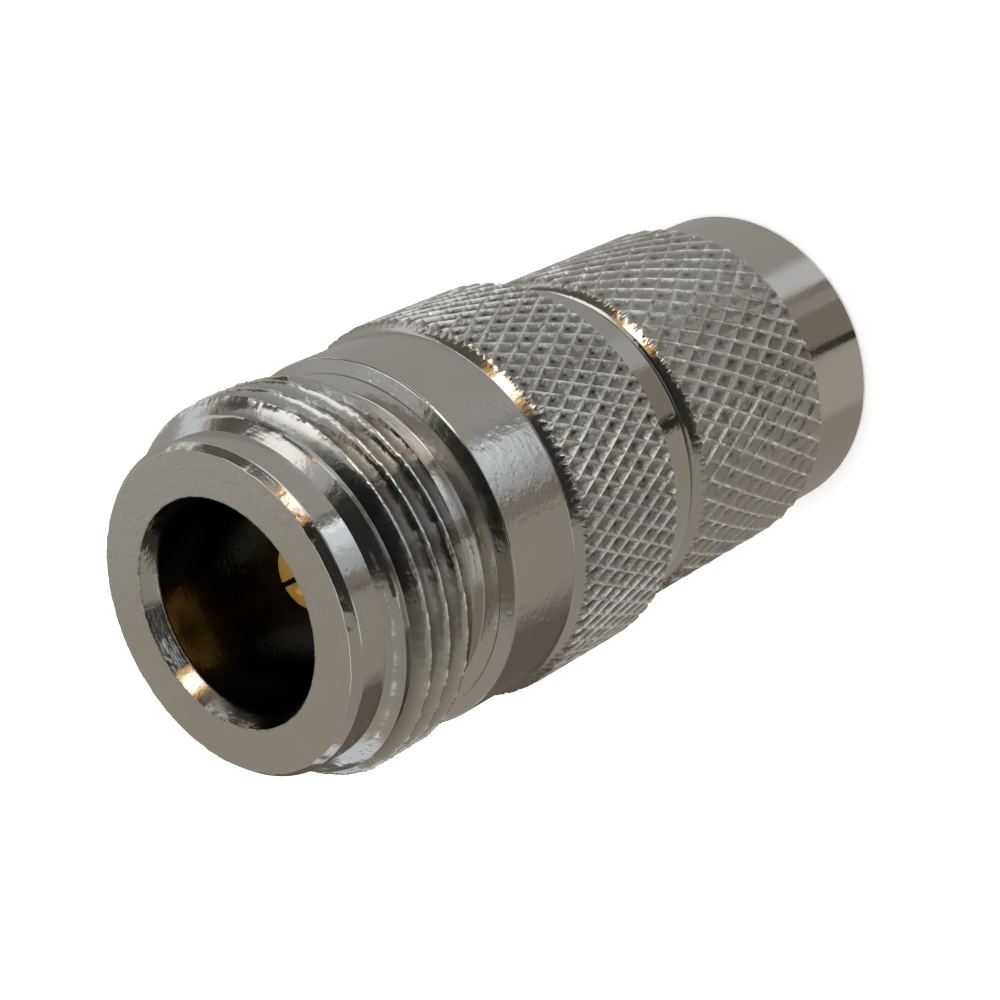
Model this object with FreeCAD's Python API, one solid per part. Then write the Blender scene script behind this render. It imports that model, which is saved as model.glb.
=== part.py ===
# Coaxial adapter: a threaded jack with a knurled grip at one end, a plug with a
# knurled coupling nut at the other. All sizes are millimetres.
#
# The axis is Z. The part stands on the rim of its coupling nut at z = 0 and the
# jack's face looks up. Turned profiles are (radius, depth) pairs, and depth is
# measured from the jack's face down the axis towards the nut's rim.
import FreeCAD, Part
import math
import os

Vector = FreeCAD.Vector

# Jack end, outside
thread_radius = 7.94
thread_pitch = 25.4 / 24
thread_depth = 0.6
thread_crest = 0.16
thread_root = 0.2
thread_length = 4.15
thread_end_break = 0.2
thread_crest_depth = 2.78
thread_columns = 90
lead_drop = 1.09
lead_length = 1.6
face_edge_break = 0.27
face_edge_depth = 0.35
undercut_drop = 1.19
undercut_length = 1.65
collar_drop = 0.04
collar_edge_break = 0.06
collar_length = 3.653
shoulder_step_drop = 0.6
shoulder_step = 0.05
shoulder_slope = 0.52

# Knurled grip of the jack, and the plain ring behind it
band_step = 0.43
band_knurl_count = 68
band_knurl_pitch = 1.4925
band_knurl_depth = 0.28
band_knurl_rows = 8
band_knurl_turn = 4.37
knurl_foot = 0.03
ring_drop = 0.5
ring_length = 1.85
ring_edge_break = 0.08

# Bore of the jack
jack_bore_radius = 4.4
jack_bore_lead = 0.35
jack_bore_lead_depth = 0.75
jack_bore_depth = 9.1
line_length = 1.5

# Plug's outer contact: its radius sets the flange, the neck and the nut around it
plug_contact_radius = 4.1
plug_contact_wall = 0.8
plug_contact_rear_wall = 0.55
plug_contact_recess = 0.9
plug_contact_break = 0.15
plug_slot_count = 4
plug_slot_width = 0.4
plug_slot_length = 3.6
line_step = 0.6
seat_clearance = 0.02
flange_width = 0.9
flange_thickness = 1.0
gasket_side_clearance = 0.05
gasket_thickness = 1.0

# Neck that carries the nut, and the snap ring that keeps it there
neck_wall = 1.2
neck_length = 6.6
neck_edge_break = 0.15
snap_ring_from_shoulder = 2.9
snap_ring_width = 0.6
snap_ring_wall = 0.6
snap_ring_bite = 0.32
snap_ring_gap = 1.6
snap_ring_closing_room = 0.38
snap_ring_side_clearance = 0.1
snap_ring_top_clearance = 0.14

# Coupling nut, inside
nut_running_clearance = 0.07
nut_flange_clearance = 0.1
nut_thread_length = 6.9
nut_mouth_lead = 0.5

# Coupling nut, outside
nut_gap = 0.27
nut_sleeve_wall = 2.11
nut_sleeve_length = 4.01
nut_step = 0.48
nut_rise = 0.45
nut_knurl_count = 51
nut_knurl_pitch = 1.642
nut_knurl_depth = 0.22
nut_knurl_rows = 11
nut_knurl_turn = 5.05
nut_rim_break = 0.15

# Insulators
jack_insulator_length = 3.0
plug_insulator_from_tip = 5.3
plug_insulator_length = 3.7
plug_insulator_nose = 1.2

# Centre contacts
socket_bore_radius = 0.8
socket_wall = 0.8
socket_recess = 4.45
socket_edge_break = 0.15
socket_bore_lead = 0.25
socket_bore_depth = 5.2
socket_slot_count = 4
socket_slot_width = 0.22
socket_slot_length = 4.0
socket_slot_turn = 0.0
socket_tail_drop = 0.6
stud_radius = 0.55
stud_length = 1.8
stud_hole_spare = 0.3
core_radius = 1.5
pin_radius = 0.675
pin_shank_step = 0.275
pin_shank_taper = 0.3
pin_recess = 1.1
pin_tip_radius = 0.25
pin_tip_length = 0.5

# How far a cutting shape runs on past the faces that it opens
overrun = 1.0

# Radii worked out from the sizes above
lead_radius = thread_radius - lead_drop
undercut_radius = thread_radius - undercut_drop
collar_radius = thread_radius - collar_drop
collar_face_radius = collar_radius - collar_edge_break
shoulder_step_radius = collar_radius - shoulder_step_drop
band_radius = collar_radius + band_step
ring_radius = collar_radius - ring_drop
plug_contact_bore = plug_contact_radius - plug_contact_wall
plug_contact_rear_bore = plug_contact_radius - plug_contact_rear_wall
line_radius = plug_contact_radius - line_step
seat_radius = plug_contact_radius + seat_clearance
flange_radius = plug_contact_radius + flange_width
gasket_radius = flange_radius - gasket_side_clearance
gasket_bore = plug_contact_radius + gasket_side_clearance
neck_radius = plug_contact_radius + neck_wall
snap_ring_inner_radius = neck_radius - snap_ring_bite
snap_ring_outer_radius = snap_ring_inner_radius + snap_ring_wall
nut_bore_radius = neck_radius + nut_running_clearance
nut_thread_bore = flange_radius + nut_flange_clearance
nut_mouth_radius = nut_thread_bore + nut_mouth_lead
nut_sleeve_radius = nut_thread_bore + nut_sleeve_wall
nut_radius = nut_sleeve_radius + nut_step
nut_face_radius = nut_radius - nut_rise
socket_radius = socket_bore_radius + socket_wall
socket_tail_radius = socket_radius - socket_tail_drop
pin_shank_radius = pin_radius + pin_shank_step

# Depths of the sections, worked out from the sizes above
thread_end = lead_length + thread_length
undercut_end = thread_end + undercut_length
shoulder_depth = undercut_end + (shoulder_step_radius - undercut_radius) * shoulder_slope
collar_start = shoulder_depth + (collar_face_radius - shoulder_step_radius) * shoulder_slope
band_start = collar_start + collar_length
band_rise = band_step + knurl_foot
band_end = band_start + 2 * band_rise + band_knurl_rows * band_knurl_pitch / 2
ring_end = band_end + ring_length
neck_end = ring_end + neck_length
nut_start = ring_end + nut_gap
nut_fall = nut_step + knurl_foot
nut_sleeve_start = nut_start + nut_rise + nut_knurl_rows * nut_knurl_pitch / 2 + nut_fall
overall_length = nut_sleeve_start + nut_sleeve_length
nut_thread_start = overall_length - nut_thread_length
snap_ring_end = ring_end + snap_ring_from_shoulder
snap_ring_start = snap_ring_end - snap_ring_width
line_start = jack_bore_depth
line_end = line_start + line_length
jack_insulator_end = line_end + jack_insulator_length
flange_end = neck_end + flange_thickness
plug_contact_tip = overall_length - plug_contact_recess
plug_insulator_end = plug_contact_tip - plug_insulator_from_tip
plug_insulator_start = plug_insulator_end - plug_insulator_length
plug_insulator_step = plug_insulator_end - plug_insulator_nose
pin_tip = overall_length - pin_recess


def at(radius, angle, depth):
    """A point from its radius, its angle in radians and its depth."""
    return Vector(radius * math.cos(angle), radius * math.sin(angle), overall_length - depth)


def turned(profile):
    """A full turn of a closed (radius, depth) outline."""
    points = [at(radius, 0, depth) for radius, depth in profile]
    return Part.Face(Part.makePolygon(points + points[:1])).revolve(Vector(), Vector(0, 0, 1), 360)


def tube(outer, inner, start, end):
    """A plain tube between two depths."""
    return turned([(inner, start), (outer, start), (outer, end), (inner, end)])


def polygon_face(*corners):
    return Part.Face(Part.makePolygon(list(corners) + [corners[0]]))


def distinct(corners):
    return all(corners[i - 1].distanceToPoint(corners[i]) > 1e-6 for i in range(3))


def reach(point):
    return math.hypot(point.x, point.y)


def net_plug(rings):
    """A solid over flat-ended rings of points. Each facet folds along its higher diagonal."""
    faces = [polygon_face(*rings[0][:-1]), polygon_face(*rings[-1][:-1])]
    for upper, lower in zip(rings, rings[1:]):
        for k in range(len(upper) - 1):
            a, b, c, d = upper[k], upper[k + 1], lower[k + 1], lower[k]
            if reach(a) + reach(c) < reach(b) + reach(d):
                a, b, c, d = b, c, d, a
            faces += [polygon_face(*corners) for corners in ((a, b, c), (a, c, d)) if distinct(corners)]
    shell = Part.makeShell(faces)
    shell.sewShape()
    solid = Part.makeSolid(shell)
    if solid.Volume < 0:
        solid.reverse()
    return solid


def knurled_plug(radius, cut, count, pitch, rows, turn, start, foot_radius, rise, end_foot_radius, fall):
    """A diamond knurl: ridge crossings alternate with sunken pits, between two cones."""
    columns = range(2 * count + 1)
    angles = [math.radians(turn) + k * math.pi / count for k in columns]
    full = start + rise
    end = full + rows * pitch / 2
    rings = [[at(foot_radius, angle, start) for angle in angles]]
    for row in range(rows + 1):
        depth = full + row * pitch / 2
        rings.append([at(radius - cut * ((k + row) % 2), angles[k], depth) for k in columns])
    rings.append([at(end_foot_radius, angle, end + fall) for angle in angles])
    return net_plug(rings)


def thread_surface(angle, depth):
    """Radius of the jack's thread: a vee helix, held down by the cones at both its ends."""
    turn = (depth - thread_crest_depth) / thread_pitch + angle / (2 * math.pi) + 0.25
    from_crest = abs(turn - round(turn)) * thread_pitch
    flank = (thread_pitch - thread_crest - thread_root) / 2
    sunk = min(max((from_crest - thread_crest / 2) / flank, 0), 1)
    front_cone = lead_radius + depth - lead_length
    back_cone = thread_radius - thread_end_break + thread_end - depth
    return min(thread_radius - thread_depth * sunk, front_cone, back_cone)


def threaded_plug():
    """The jack's thread, with points along the helical edges of its crests and roots."""
    columns = range(thread_columns + 1)
    angles = [2 * math.pi * k / thread_columns for k in columns]
    corners = [-thread_crest / 2, thread_crest / 2, (thread_pitch - thread_root) / 2, (thread_pitch + thread_root) / 2]
    turns = math.ceil(thread_length / thread_pitch) + 2
    first = thread_crest_depth - thread_pitch * (0.25 + math.ceil((thread_crest_depth - lead_length) / thread_pitch))
    rings = []
    for turn in range(turns + 2):
        for corner in corners:
            edge = first + turn * thread_pitch + corner
            ring = []
            for angle in angles:
                depth = min(max(edge - thread_pitch * angle / (2 * math.pi), lead_length), thread_end)
                ring.append(at(thread_surface(angle, depth), angle, depth))
            rings.append(ring)
    return net_plug(rings)


def saw_cuts(count, width, reach, low, high, turn):
    """Slots across a contact's mouth, between two heights."""
    cuts = []
    for index in range(count // 2):
        cut = Part.makeBox(2 * reach, width, high - low, Vector(-reach, -width / 2, low))
        cut.rotate(Vector(), Vector(0, 0, 1), turn + index * 360 / count)
        cuts.append(cut)
    return cuts


def jack_shell():
    groove_root = snap_ring_inner_radius - snap_ring_closing_room
    groove_start = snap_ring_start - 2 * snap_ring_side_clearance
    front = turned([
        (0, 0),
        (lead_radius - face_edge_break, 0),
        (lead_radius, face_edge_depth),
        (lead_radius, lead_length),
        (0, lead_length),
    ])
    thread = threaded_plug()
    collar = turned([
        (0, thread_end),
        (undercut_radius, thread_end),
        (undercut_radius, undercut_end),
        (shoulder_step_radius, shoulder_depth),
        (shoulder_step_radius + shoulder_step, shoulder_depth),
        (collar_face_radius, collar_start),
        (collar_radius, collar_start + collar_edge_break),
        (collar_radius, band_start),
        (0, band_start),
    ])
    band = knurled_plug(
        band_radius, band_knurl_depth, band_knurl_count, band_knurl_pitch, band_knurl_rows, band_knurl_turn,
        band_start, collar_radius - knurl_foot, band_rise, collar_radius - knurl_foot, band_rise)
    rear = turned([
        (0, band_end),
        (ring_radius, band_end),
        (ring_radius, ring_end - ring_edge_break),
        (ring_radius - ring_edge_break, ring_end),
        (neck_radius, ring_end),
        (neck_radius, groove_start),
        (groove_root, groove_start),
        (groove_root, snap_ring_end),
        (neck_radius, snap_ring_end),
        (neck_radius, neck_end - neck_edge_break),
        (neck_radius - neck_edge_break, neck_end),
        (0, neck_end),
    ])
    bore = turned([
        (0, -overrun),
        (jack_bore_radius + jack_bore_lead, -overrun),
        (jack_bore_radius + jack_bore_lead, 0),
        (jack_bore_radius, jack_bore_lead_depth),
        (jack_bore_radius, line_start),
        (line_radius, line_start),
        (line_radius, line_end),
        (seat_radius, line_end),
        (seat_radius, neck_end + overrun),
        (0, neck_end + overrun),
    ])
    return front.fuse([thread, collar, band, rear]).cut(bore)


def coupling_nut():
    groove_radius = snap_ring_outer_radius + snap_ring_top_clearance
    groove_start = snap_ring_start - snap_ring_side_clearance
    groove_end = snap_ring_end + snap_ring_side_clearance
    mouth_depth = overall_length - nut_mouth_lead
    grip = knurled_plug(
        nut_radius, nut_knurl_depth, nut_knurl_count, nut_knurl_pitch, nut_knurl_rows, nut_knurl_turn,
        nut_start, nut_face_radius, nut_rise, nut_sleeve_radius - knurl_foot, nut_fall)
    sleeve = turned([
        (0, nut_sleeve_start),
        (nut_sleeve_radius, nut_sleeve_start),
        (nut_sleeve_radius, overall_length - nut_rim_break),
        (nut_sleeve_radius - nut_rim_break, overall_length),
        (0, overall_length),
    ])
    bore = turned([
        (0, nut_start - overrun),
        (nut_bore_radius, nut_start - overrun),
        (nut_bore_radius, groove_start),
        (groove_radius, groove_start),
        (groove_radius, groove_end),
        (nut_bore_radius, groove_end),
        (nut_bore_radius, nut_thread_start),
        (nut_thread_bore, nut_thread_start),
        (nut_thread_bore, mouth_depth),
        (nut_mouth_radius, overall_length),
        (nut_mouth_radius, overall_length + overrun),
        (0, overall_length + overrun),
    ])
    return grip.fuse(sleeve).cut(bore)


def snap_ring():
    ring = tube(snap_ring_outer_radius, snap_ring_inner_radius, snap_ring_start, snap_ring_end)
    length = snap_ring_outer_radius + overrun
    height = snap_ring_width + 2 * overrun
    low = overall_length - snap_ring_end - overrun
    return ring.cut(Part.makeBox(length, snap_ring_gap, height, Vector(0, -snap_ring_gap / 2, low)))


def plug_outer_contact():
    tip_height = overall_length - plug_contact_tip
    contact = turned([
        (plug_contact_rear_bore, jack_insulator_end),
        (plug_contact_radius, jack_insulator_end),
        (plug_contact_radius, neck_end),
        (flange_radius, neck_end),
        (flange_radius, flange_end),
        (plug_contact_radius, flange_end),
        (plug_contact_radius, plug_contact_tip - plug_contact_break),
        (plug_contact_radius - plug_contact_break, plug_contact_tip),
        (plug_contact_bore + plug_contact_break, plug_contact_tip),
        (plug_contact_bore, plug_contact_tip - plug_contact_break),
        (plug_contact_bore, plug_insulator_step),
        (plug_contact_rear_bore, plug_insulator_step),
    ])
    return contact.cut(saw_cuts(plug_slot_count, plug_slot_width, 2 * plug_contact_radius,
                                tip_height - overrun, tip_height + plug_slot_length, 45))


def gasket():
    return tube(gasket_radius, gasket_bore, flange_end, flange_end + gasket_thickness)


def jack_insulator():
    return tube(plug_contact_radius, socket_tail_radius + seat_clearance, line_end, jack_insulator_end)


def plug_insulator():
    return turned([
        (pin_shank_radius + seat_clearance, plug_insulator_start),
        (plug_contact_rear_bore - seat_clearance, plug_insulator_start),
        (plug_contact_rear_bore - seat_clearance, plug_insulator_step),
        (plug_contact_bore - seat_clearance, plug_insulator_step),
        (plug_contact_bore - seat_clearance, plug_insulator_end),
        (pin_shank_radius + seat_clearance, plug_insulator_end),
    ])


def socket_contact():
    bore_end = socket_recess + socket_bore_depth
    mouth_height = overall_length - socket_recess
    contact = turned([
        (socket_bore_radius + socket_bore_lead, socket_recess),
        (socket_radius - socket_edge_break, socket_recess),
        (socket_radius, socket_recess + socket_edge_break),
        (socket_radius, line_end),
        (socket_tail_radius, line_end),
        (socket_tail_radius, jack_insulator_end),
        (stud_radius, jack_insulator_end),
        (stud_radius, jack_insulator_end + stud_length),
        (0, jack_insulator_end + stud_length),
        (0, bore_end + socket_bore_radius / 2),
        (socket_bore_radius, bore_end),
        (socket_bore_radius, socket_recess + socket_bore_lead),
    ])
    return contact.cut(saw_cuts(socket_slot_count, socket_slot_width, 2 * socket_radius,
                                mouth_height - socket_slot_length, mouth_height + overrun, socket_slot_turn))


def pin_contact():
    hole = stud_radius + seat_clearance
    hole_end = jack_insulator_end + stud_length + stud_hole_spare
    return turned([
        (hole, jack_insulator_end),
        (core_radius, jack_insulator_end),
        (core_radius, plug_insulator_start),
        (pin_shank_radius, plug_insulator_start),
        (pin_shank_radius, plug_insulator_end),
        (pin_radius, plug_insulator_end + pin_shank_taper),
        (pin_radius, pin_tip - pin_tip_length),
        (pin_tip_radius, pin_tip),
        (0, pin_tip),
        (0, hole_end),
        (hole, hole_end),
    ])


pieces = {
    "jack_shell": jack_shell,
    "coupling_nut": coupling_nut,
    "snap_ring": snap_ring,
    "plug_outer_contact": plug_outer_contact,
    "gasket": gasket,
    "jack_insulator": jack_insulator,
    "plug_insulator": plug_insulator,
    "socket_contact": socket_contact,
    "pin_contact": pin_contact,
}

os.makedirs("parts", exist_ok=True)
for name, build in pieces.items():
    solid = build().Solids[0]
    solid.exportStep(f"parts/{name}.step")
    print(name, len(solid.Faces), "faces", round(solid.Volume, 1), "mm3")
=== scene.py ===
import bpy
import math
import numpy as np
from mathutils import Matrix, Vector


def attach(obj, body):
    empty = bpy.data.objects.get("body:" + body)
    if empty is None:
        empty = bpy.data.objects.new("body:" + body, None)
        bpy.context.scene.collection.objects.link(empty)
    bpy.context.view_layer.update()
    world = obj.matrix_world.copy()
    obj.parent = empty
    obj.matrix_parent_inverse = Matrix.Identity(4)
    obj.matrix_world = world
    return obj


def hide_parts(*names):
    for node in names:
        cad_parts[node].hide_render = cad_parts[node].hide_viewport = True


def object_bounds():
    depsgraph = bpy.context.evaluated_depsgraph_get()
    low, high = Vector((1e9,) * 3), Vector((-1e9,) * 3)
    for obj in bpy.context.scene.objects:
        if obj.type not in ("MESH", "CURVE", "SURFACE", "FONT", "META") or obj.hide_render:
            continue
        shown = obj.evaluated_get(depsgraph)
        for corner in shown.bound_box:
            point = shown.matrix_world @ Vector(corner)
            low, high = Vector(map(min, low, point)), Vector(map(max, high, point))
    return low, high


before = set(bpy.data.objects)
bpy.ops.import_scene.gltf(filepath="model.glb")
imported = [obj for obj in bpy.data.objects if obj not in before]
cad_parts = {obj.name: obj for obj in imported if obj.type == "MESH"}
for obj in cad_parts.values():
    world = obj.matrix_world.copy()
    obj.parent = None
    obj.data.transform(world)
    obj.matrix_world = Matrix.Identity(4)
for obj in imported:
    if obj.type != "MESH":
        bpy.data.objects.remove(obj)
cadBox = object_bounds()
print("frame loaded:", sorted(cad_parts))

# Sizes are in millimetres up to the mesh. A point is (radius, angle, depth), where depth
# runs from the jack's face down the axis to the rim of the nut that the part stands on.
totalLength = cadBox[1][2] * 1000


def spreadAngles(columns, turn=0.0):
    return np.radians(turn) + 2 * np.pi * np.arange(columns + 1) / columns


roundingSpec = {
    "mostOfSide": 0.3,
    "flatRow": 0.4,
}


# every corner with a rounding becomes a quadratic curve between its two tangent points:
# P(t) = (1-t)^2 A + 2t(1-t) C + t^2 B, with one more row just outside each end that keeps flats flat
def softened(corners, steps):
    points = np.array([c[:2] for c in corners], float)
    rounding = np.array([c[2] if len(c) > 2 else 0.0 for c in corners], float)
    t = np.linspace(0, 1, steps + 1)[:, None]
    rows = []
    for i, corner in enumerate(points):
        if rounding[i] == 0 or i in (0, len(points) - 1):
            rows.append(corner[None])
            continue
        before, after = points[i - 1] - corner, points[i + 1] - corner
        lengthBefore, lengthAfter = np.linalg.norm(before), np.linalg.norm(after)
        most = roundingSpec["mostOfSide"]
        reach = min(rounding[i], most * lengthBefore, most * lengthAfter)
        back, ahead = before / lengthBefore, after / lengthAfter
        a, b = corner + back * reach, corner + ahead * reach
        curve = (1 - t) ** 2 * a + 2 * t * (1 - t) * corner + t ** 2 * b
        outside = roundingSpec["flatRow"]
        rows += [(a + back * outside * reach)[None], curve, (b + ahead * outside * reach)[None]]
    return np.vstack(rows)


# a turned stretch: radius and depth are the same all the way round
def turnedBlock(corners, columns, steps=4):
    profile = softened(corners, steps)
    angle = np.broadcast_to(spreadAngles(columns), (len(profile), columns + 1))
    radius = np.broadcast_to(profile[:, :1], angle.shape)
    depth = np.broadcast_to(profile[:, 1:], angle.shape)
    return {"angle": angle, "radius": radius, "depth": depth}


# index grids: the last column is the first one again, and in a helical block it is a turn further up
def indexBlock(block, start):
    rows, columns = block["radius"].shape[0], block["radius"].shape[1] - 1
    grid = start + np.arange(rows)[:, None] * columns + np.arange(columns)[None, :]
    lead = block.get("rowsPerTurn", 0)
    if lead:
        low, high = block["depth"][0, 0], block["depth"][-1, 0]
        flat = block["depth"][:, :-1]
        grid = np.where(flat <= low, grid[:1], np.where(flat >= high, grid[-1:], grid))
        wrapped = np.concatenate([np.full(lead, grid[0, 0]), grid[:-lead, 0]])
    else:
        wrapped = grid[:, 0]
    return np.concatenate([grid, wrapped[:, None]], axis=1)


# two triangles a cell, folded along the diagonal whose ends stand further out
def gridTriangles(index, reach):
    a, b, c, d = index[:-1, :-1], index[:-1, 1:], index[1:, 1:], index[1:, :-1]
    ra, rb, rc, rd = reach[:-1, :-1], reach[:-1, 1:], reach[1:, 1:], reach[1:, :-1]
    fold = (ra + rc >= rb + rd - 1e-9)[..., None]
    first = np.where(fold, np.stack([a, d, c], -1), np.stack([a, d, b], -1))
    second = np.where(fold, np.stack([a, c, b], -1), np.stack([d, c, b], -1))
    return np.concatenate([first.reshape(-1, 3), second.reshape(-1, 3)])


# joins a ring of vertices to a ring with a whole number of times as many
def stitchTriangles(upper, lower):
    if len(upper) == len(lower):
        both = np.stack([upper, lower])
        return gridTriangles(both, np.zeros(both.shape))
    flip = len(upper) > len(lower)
    fine, coarse = (upper, lower) if flip else (lower, upper)
    ratio = (len(fine) - 1) // (len(coarse) - 1)
    i = np.arange(len(fine) - 1)
    owner = i // ratio + (i % ratio >= ratio // 2)
    fans = np.stack([coarse[owner], fine[i], fine[i + 1]], -1)
    j = np.arange(len(coarse) - 1)
    bridges = np.stack([coarse[j], fine[j * ratio + ratio // 2], coarse[j + 1]], -1)
    triangles = np.concatenate([fans, bridges])
    return triangles[:, ::-1] if flip else triangles


# a closed turned piece: blocks follow its outline all the way round and back to the start, with
# x = radius cos(angle), y = radius sin(angle), z = length - depth. Its marks are shares from 0 to 1:
# painted shade and dirt darken, satin dulls, and pale crests brighten, from wear and as painted highlights
def ringPiece(name, blocks):
    start, indices, points, marks = 0, [], [], {"shadeAndGrime": [], "satin": [], "bareGlint": []}
    for block in blocks:
        index = indexBlock(block, start)
        angle, radius, depth = (block[key][:, :-1] for key in ("angle", "radius", "depth"))
        place = [radius * np.cos(angle), radius * np.sin(angle), totalLength - depth]
        points.append(np.stack(place, -1).reshape(-1, 3))
        for key in marks:
            marks[key].append(block.get(key, 0 * block["radius"])[:, :-1].reshape(-1))
        indices.append(index)
        start += angle.size
    triangles = [gridTriangles(index, block["radius"]) for index, block in zip(indices, blocks)]
    triangles += [stitchTriangles(a[-1], b[0]) for a, b in zip(indices, indices[1:] + indices[:1])]
    marks = {key: np.concatenate(values) for key, values in marks.items()}
    return meshPiece(name, np.concatenate(points), np.concatenate(triangles), marks)


# triangles that lost a corner are dropped, and so are the vertices that none of them uses
def meshPiece(name, points, triangles, marks, sharpDegrees=28.0):
    a, b, c = triangles.T
    triangles = triangles[(a != b) & (b != c) & (c != a)]
    used, packed = np.unique(triangles, return_inverse=True)
    triangles = packed.reshape(-1, 3)
    mesh = bpy.data.meshes.new(name)
    mesh.from_pydata((points[used] * 0.001).tolist(), [], triangles.tolist())
    for key, values in marks.items():
        layer = mesh.attributes.new(key, "FLOAT", "POINT")
        layer.data.foreach_set("value", values[used].astype(np.float32))
    mesh.shade_smooth()
    mesh.set_sharp_from_angle(angle=math.radians(sharpDegrees))
    mesh.update()
    piece = bpy.data.objects.new(name, mesh)
    bpy.context.scene.collection.objects.link(piece)
    print(f"  {name}: {len(triangles)} triangles")
    return piece


noiseSpec = {
    "waves": 6,
    "fade": 1.7,
}


# a sum of waves that close round the axis: cos(n angle + k depth + phase), finer and weaker by octaves
def smoothNoise(angle, depth, scale, seed, octaves=3):
    generator = np.random.default_rng(seed)
    total = np.zeros(np.broadcast(angle, depth).shape)
    waves, fade = noiseSpec["waves"], noiseSpec["fade"]
    for octave in range(octaves):
        for wave in range(waves):
            count = generator.integers(1, 6) * 2 ** octave * scale
            along = generator.normal(0, 1.5) * 2 ** octave
            phase = generator.uniform(0, 6.28)
            total = total + np.cos(count * angle + along * depth + phase) / (waves * fade ** octave)
    return total


# outlines are (radius, depth) or (radius, depth, rounding) corners, a reach is (in radius, in depth),
# and the neck's places are measured from the end of the plain ring
shellSpec = {
    "columns": 272,
    "threadColumns": 544,
    "knurlColumns": 544,
    "lineRadius": 3.5,
    "boreOutline": [(4.4, 9.1, 0.05), (4.4, 4.0), (4.4, 0.82)],
    # painted shade: the bore's wall darkens from the first share to the second, more with depth past the
    # start
    "boreShade": (0.7, 0.9),
    "boreShadeStart": 0.8,
    "mouthOutline": [(4.4, 0.79), (4.405, 0.76), (4.46, 0.63), (4.6, 0.33), (4.7, 0.11),
                     (4.75, 0.0, 0.05)],
    "faceRows": [4.8, 4.88, 5.1, 5.9, 6.42, 6.5],
    "lipRadius": 4.75,
    "lipReach": (0.035, 0.12),
    "lipNoise": 0.003,
    # a ragged line along the bore's lip is darkened by these shares
    "lipDarkening": (0.3, 0.6),
    "edgeRadius": 6.6,
    "edgeReach": (0.09, 0.1),
    "edgeNoise": 0.03,
    "leadRadius": 6.85,
    "leadOutline": [(6.58, 0.0, 0.04), (6.85, 0.35, 0.06), (6.85, 1.3), (6.85, 1.57)],
    "threadStart": 1.6,
    "threadEnd": 5.75,
    "threadRadius": 7.94,
    "threadPitch": 25.4 / 24,
    "threadCrestDepth": 2.78,
    "threadEndBreak": 0.2,
    "veeAcross": (0, 0.04, 0.08, 0.17, 0.31, 0.42),
    "veeFall": (0, 0, 0.03, 0.18, 0.42, 0.585, 0.6),
    "burr": 0.042,
    "burrWidth": 0.1,
    "burrClear": (0.2, 0.05),
    "coneRipple": 0.01,
    "rippleStart": 0.5,
    "flankRipple": 0.012,
    "flankEdge": 0.06,
    # painted shade on the flanks towards the thread's roots
    "rootShade": 0.5,
    # pale crests on the thread: wear and a painted highlight
    "crestGlint": 0.4,
    "waistOutline": [(7.55, 5.76), (7.2, 5.77), (6.75, 5.78, 0.06), (6.75, 7.4, 0.05),
                     (7.3, 7.686, 0.02), (7.35, 7.69, 0.02), (7.85, 7.967, 0.03), (7.9, 8.03, 0.05),
                     (7.9, 9.9)],
    "collarRadius": 7.9,
    "collarStart": 8.05,
    "collarSatin": 0.4,
    "stepRadius": 7.8,
    "ringRadius": 7.4,
    "ringBreak": 0.08,
    "ringEnd": 20.4,
    "neckRadius": 5.3,
    "neckGrooveRadius": 4.6,
    "neckGroove": (2.1, 2.9),
    "neckLength": 6.6,
    "neckBreak": 0.15,
    "neckBore": 4.12,
    "shelfDepth": 10.6,
}

bandSpec = {
    "start": 11.62,
    "end": 18.51,
    "radius": 8.33,
    "footRadius": 7.9,
    "endFootRadius": 7.87,
    "count": 68,
    "pitch": 1.4875,
    "crossingDepth": 12.515,
    "crossingTurn": -3.57,
    "cut": 0.17,
    "ridge": (1.0, 3.2),
    "ridgeOther": (1.0, 3.2),
    # painted shade on the knurl's floors
    "floorShade": 0.52,
    # pale ridge lines: wear and a painted highlight
    "wornGlint": 0.7,
    "ramp": 0.76,
    "fillet": 0.05,
    "lip": 0.0,
    "cellTilt": 0.022,
    "finer": 8,
    "seed": 21,
}

nutSpec = {
    "columns": 204,
    "knurlColumns": 612,
    "start": 20.63,
    "end": 30.62,
    "radius": 7.69,
    "footRadius": 7.24,
    "endFootRadius": 7.18,
    "sleeveRadius": 7.21,
    "count": 51,
    "pitch": 1.692,
    "crossingDepth": 21.47,
    "crossingTurn": -3.77,
    "cut": 0.17,
    "ridge": (1.0, 4.0),
    "ridgeOther": (0.85, 3.0),
    # painted shade on the knurl's floors
    "floorShade": 0.24,
    # pale ridge lines: wear and a painted highlight
    "wornGlint": 1.1,
    "ramp": 0.78,
    "fillet": 0.0,
    "lip": 0.1,
    "cellTilt": 0.02,
    "finer": 12,
    "seed": 57,
    "sleeveStart": (0.01, 0.5),
    "faceRadius": 7.15,
    "boreRadius": 5.37,
    "boreBreak": 0.1,
    "grooveRadius": 5.72,
    "grooveStart": 22.56,
    "grooveEnd": 23.36,
    "threadBore": 5.1,
    "threadLength": 6.9,
    "mouthRadius": 5.6,
    "mouthDepth": 0.5,
    "rimBreak": 0.15,
}


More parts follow.
